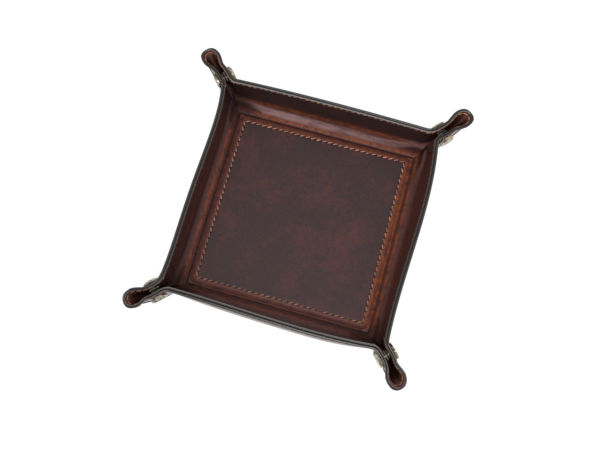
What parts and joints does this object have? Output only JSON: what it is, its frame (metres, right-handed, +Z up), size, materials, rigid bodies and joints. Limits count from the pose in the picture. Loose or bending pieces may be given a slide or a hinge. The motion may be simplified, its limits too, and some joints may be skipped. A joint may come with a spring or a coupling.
{
  "type": "valet tray",
  "caption": "Square leather valet tray with upright sides, pinched corner ears held by snap buttons, and a stitched flat base.",
  "frame": {"origin": "centre of the flat underside of the base", "axes": "+Z up out of the open top, +Y towards the side that is farthest from the camera in the picture, +X to its right"},
  "size_m": [0.2092, 0.2092, 0.038],
  "materials": {
    "outer_leather": "semi-gloss pull-up",
    "inner_leather": "satin pull-up",
    "panel_leather": "satin",
    "board": "matt bonded board",
    "thread": "waxed",
    "brass": "polished"
  },
  "bodies": {
    "base": {"outer_base": "outer_leather", "stiffener_board": "board", "inner_base": "panel_leather", "base_stitching": "thread", "fold_north": "inner_leather", "fold_west": "inner_leather", "fold_south": "inner_leather", "fold_east": "inner_leather"},
    "wall_north": {"inner_wall_north": "inner_leather", "outer_wall_north": "outer_leather", "rim_stitching_north": "thread", "corner_bends_north": "inner_leather"},
    "wall_west": {"inner_wall_west": "inner_leather", "outer_wall_west": "outer_leather", "rim_stitching_west": "thread", "corner_bends_west": "inner_leather"},
    "wall_south": {"inner_wall_south": "inner_leather", "outer_wall_south": "outer_leather", "rim_stitching_south": "thread", "corner_bends_south": "inner_leather"},
    "wall_east": {"inner_wall_east": "inner_leather", "outer_wall_east": "outer_leather", "rim_stitching_east": "thread", "corner_bends_east": "inner_leather"},
    "leg_north_east_north": {"ear_leg_north_east_north": "inner_leather", "snap_post_north_east": "brass", "snap_stud_north_east": "brass"},
    "loop_north_east_north": {"ear_loop_north_east_north": "inner_leather"},
    "leg_north_east_east": {"ear_leg_north_east_east": "inner_leather", "snap_cap_north_east": "brass", "snap_socket_north_east": "brass"},
    "loop_north_east_east": {"ear_loop_north_east_east": "inner_leather"},
    "leg_north_west_west": {"ear_leg_north_west_west": "inner_leather", "snap_post_north_west": "brass", "snap_stud_north_west": "brass"},
    "loop_north_west_west": {"ear_loop_north_west_west": "inner_leather"},
    "leg_north_west_north": {"ear_leg_north_west_north": "inner_leather", "snap_cap_north_west": "brass", "snap_socket_north_west": "brass"},
    "loop_north_west_north": {"ear_loop_north_west_north": "inner_leather"},
    "leg_south_west_south": {"ear_leg_south_west_south": "inner_leather", "snap_post_south_west": "brass", "snap_stud_south_west": "brass"},
    "loop_south_west_south": {"ear_loop_south_west_south": "inner_leather"},
    "leg_south_west_west": {"ear_leg_south_west_west": "inner_leather", "snap_cap_south_west": "brass", "snap_socket_south_west": "brass"},
    "loop_south_west_west": {"ear_loop_south_west_west": "inner_leather"},
    "leg_south_east_east": {"ear_leg_south_east_east": "inner_leather", "snap_post_south_east": "brass", "snap_stud_south_east": "brass"},
    "loop_south_east_east": {"ear_loop_south_east_east": "inner_leather"},
    "leg_south_east_south": {"ear_leg_south_east_south": "inner_leather", "snap_cap_south_east": "brass", "snap_socket_south_east": "brass"},
    "loop_south_east_south": {"ear_loop_south_east_south": "inner_leather"}
  },
  "joints": [
    {"name": "wall_north_fold", "type": "hinge", "parent": "base", "child": "wall_north", "pos_m": [0, 0.0746, 0.0047], "axis": [-1, 0, 0], "range_deg": [0, 70], "deforming": ["fold_north"]},
    {"name": "wall_west_fold", "type": "hinge", "parent": "base", "child": "wall_west", "pos_m": [-0.0746, 0, 0.0047], "axis": [0, -1, 0], "range_deg": [0, 70.05], "deforming": ["fold_west"]},
    {"name": "wall_south_fold", "type": "hinge", "parent": "base", "child": "wall_south", "pos_m": [0, -0.0746, 0.0047], "axis": [1, 0, 0], "range_deg": [0, 70.05], "deforming": ["fold_south"]},
    {"name": "wall_east_fold", "type": "hinge", "parent": "base", "child": "wall_east", "pos_m": [0.0746, 0, 0.0047], "axis": [0, 1, 0], "range_deg": [0, 70.05], "deforming": ["fold_east"]},
    {"name": "leg_north_east_north_bend", "type": "hinge", "parent": "wall_north", "child": "leg_north_east_north", "pos_m": [0.0695, 0.0737, 0.0023], "axis": [-0.2344, -0.2401, -0.942], "range_deg": [0, 40.07], "deforming": ["corner_bends_north"]},
    {"name": "loop_north_east_north_bend", "type": "hinge", "parent": "leg_north_east_north", "child": "loop_north_east_north", "pos_m": [0.09212, 0.09432, 0.0268], "axis": [0.5518, 0.5518, 0.6252], "range_deg": [0, 80.17], "deforming": ["ear_loop_north_east_north"]},
    {"name": "leg_north_east_east_bend", "type": "hinge", "parent": "wall_east", "child": "leg_north_east_east", "pos_m": [0.0737, 0.0695, 0.0023], "axis": [0.2401, 0.2344, 0.942], "range_deg": [0, 40.07], "deforming": ["corner_bends_east"]},
    {"name": "loop_north_east_east_bend", "type": "hinge", "parent": "leg_north_east_east", "child": "loop_north_east_east", "pos_m": [0.09432, 0.09212, 0.0268], "axis": [-0.5518, -0.5518, -0.6252], "range_deg": [0, 80.17], "deforming": ["ear_loop_north_east_east"]},
    {"name": "leg_north_west_west_bend", "type": "hinge", "parent": "wall_west", "child": "leg_north_west_west", "pos_m": [-0.0737, 0.0695, 0.0023], "axis": [0.2401, -0.2344, -0.942], "range_deg": [0, 40.07], "deforming": ["corner_bends_west"]},
    {"name": "loop_north_west_west_bend", "type": "hinge", "parent": "leg_north_west_west", "child": "loop_north_west_west", "pos_m": [-0.09432, 0.09212, 0.0268], "axis": [-0.5518, 0.5518, 0.6252], "range_deg": [0, 80.17], "deforming": ["ear_loop_north_west_west"]},
    {"name": "leg_north_west_north_bend", "type": "hinge", "parent": "wall_north", "child": "leg_north_west_north", "pos_m": [-0.0695, 0.0737, 0.0023], "axis": [-0.2344, 0.2401, 0.942], "range_deg": [0, 40.07]},
    {"name": "loop_north_west_north_bend", "type": "hinge", "parent": "leg_north_west_north", "child": "loop_north_west_north", "pos_m": [-0.09212, 0.09432, 0.0268], "axis": [0.5518, -0.5518, -0.6252], "range_deg": [0, 80.17], "deforming": ["ear_loop_north_west_north"]},
    {"name": "leg_south_west_south_bend", "type": "hinge", "parent": "wall_south", "child": "leg_south_west_south", "pos_m": [-0.0695, -0.0737, 0.0023], "axis": [0.2344, 0.2401, -0.942], "range_deg": [0, 40.07], "deforming": ["corner_bends_south"]},
    {"name": "loop_south_west_south_bend", "type": "hinge", "parent": "leg_south_west_south", "child": "loop_south_west_south", "pos_m": [-0.09212, -0.09432, 0.0268], "axis": [-0.5518, -0.5518, 0.6252], "range_deg": [0, 80.17], "deforming": ["ear_loop_south_west_south"]},
    {"name": "leg_south_west_west_bend", "type": "hinge", "parent": "wall_west", "child": "leg_south_west_west", "pos_m": [-0.0737, -0.0695, 0.0023], "axis": [-0.2401, -0.2344, 0.942], "range_deg": [0, 40.07]},
    {"name": "loop_south_west_west_bend", "type": "hinge", "parent": "leg_south_west_west", "child": "loop_south_west_west", "pos_m": [-0.09432, -0.09212, 0.0268], "axis": [0.5518, 0.5518, -0.6252], "range_deg": [0, 80.17], "deforming": ["ear_loop_south_west_west"]},
    {"name": "leg_south_east_east_bend", "type": "hinge", "parent": "wall_east", "child": "leg_south_east_east", "pos_m": [0.0737, -0.0695, 0.0023], "axis": [-0.2401, 0.2344, -0.942], "range_deg": [0, 40.07]},
    {"name": "loop_south_east_east_bend", "type": "hinge", "parent": "leg_south_east_east", "child": "loop_south_east_east", "pos_m": [0.09432, -0.09212, 0.0268], "axis": [0.5518, -0.5518, 0.6252], "range_deg": [0, 80.17], "deforming": ["ear_loop_south_east_east"]},
    {"name": "leg_south_east_south_bend", "type": "hinge", "parent": "wall_south", "child": "leg_south_east_south", "pos_m": [0.0695, -0.0737, 0.0023], "axis": [0.2344, -0.2401, 0.942], "range_deg": [0, 40.07]},
    {"name": "loop_south_east_south_bend", "type": "hinge", "parent": "leg_south_east_south", "child": "loop_south_east_south", "pos_m": [0.09212, -0.09432, 0.0268], "axis": [-0.5518, 0.5518, -0.6252], "range_deg": [0, 80.17], "deforming": ["ear_loop_south_east_south"]}
  ],
  "couplings": [
    {"joint": "wall_west_fold", "follows": "wall_north_fold", "ratio": 1},
    {"joint": "wall_south_fold", "follows": "wall_north_fold", "ratio": 1},
    {"joint": "wall_east_fold", "follows": "wall_north_fold", "ratio": 1},
    {"joint": "leg_north_east_north_bend", "follows": "wall_north_fold", "ratio": 0.57176},
    {"joint": "loop_north_east_north_bend", "follows": "wall_north_fold", "ratio": 1.1445},
    {"joint": "leg_north_east_east_bend", "follows": "wall_north_fold", "ratio": 0.57176},
    {"joint": "loop_north_east_east_bend", "follows": "wall_north_fold", "ratio": 1.1445},
    {"joint": "leg_north_west_west_bend", "follows": "wall_north_fold", "ratio": 0.57176},
    {"joint": "loop_north_west_west_bend", "follows": "wall_north_fold", "ratio": 1.1445},
    {"joint": "leg_north_west_north_bend", "follows": "wall_north_fold", "ratio": 0.57176},
    {"joint": "loop_north_west_north_bend", "follows": "wall_north_fold", "ratio": 1.1445},
    {"joint": "leg_south_west_south_bend", "follows": "wall_north_fold", "ratio": 0.57176},
    {"joint": "loop_south_west_south_bend", "follows": "wall_north_fold", "ratio": 1.1445},
    {"joint": "leg_south_west_west_bend", "follows": "wall_north_fold", "ratio": 0.57176},
    {"joint": "loop_south_west_west_bend", "follows": "wall_north_fold", "ratio": 1.1445},
    {"joint": "leg_south_east_east_bend", "follows": "wall_north_fold", "ratio": 0.57176},
    {"joint": "loop_south_east_east_bend", "follows": "wall_north_fold", "ratio": 1.1445},
    {"joint": "leg_south_east_south_bend", "follows": "wall_north_fold", "ratio": 0.57176},
    {"joint": "loop_south_east_south_bend", "follows": "wall_north_fold", "ratio": 1.1445}
  ]
}
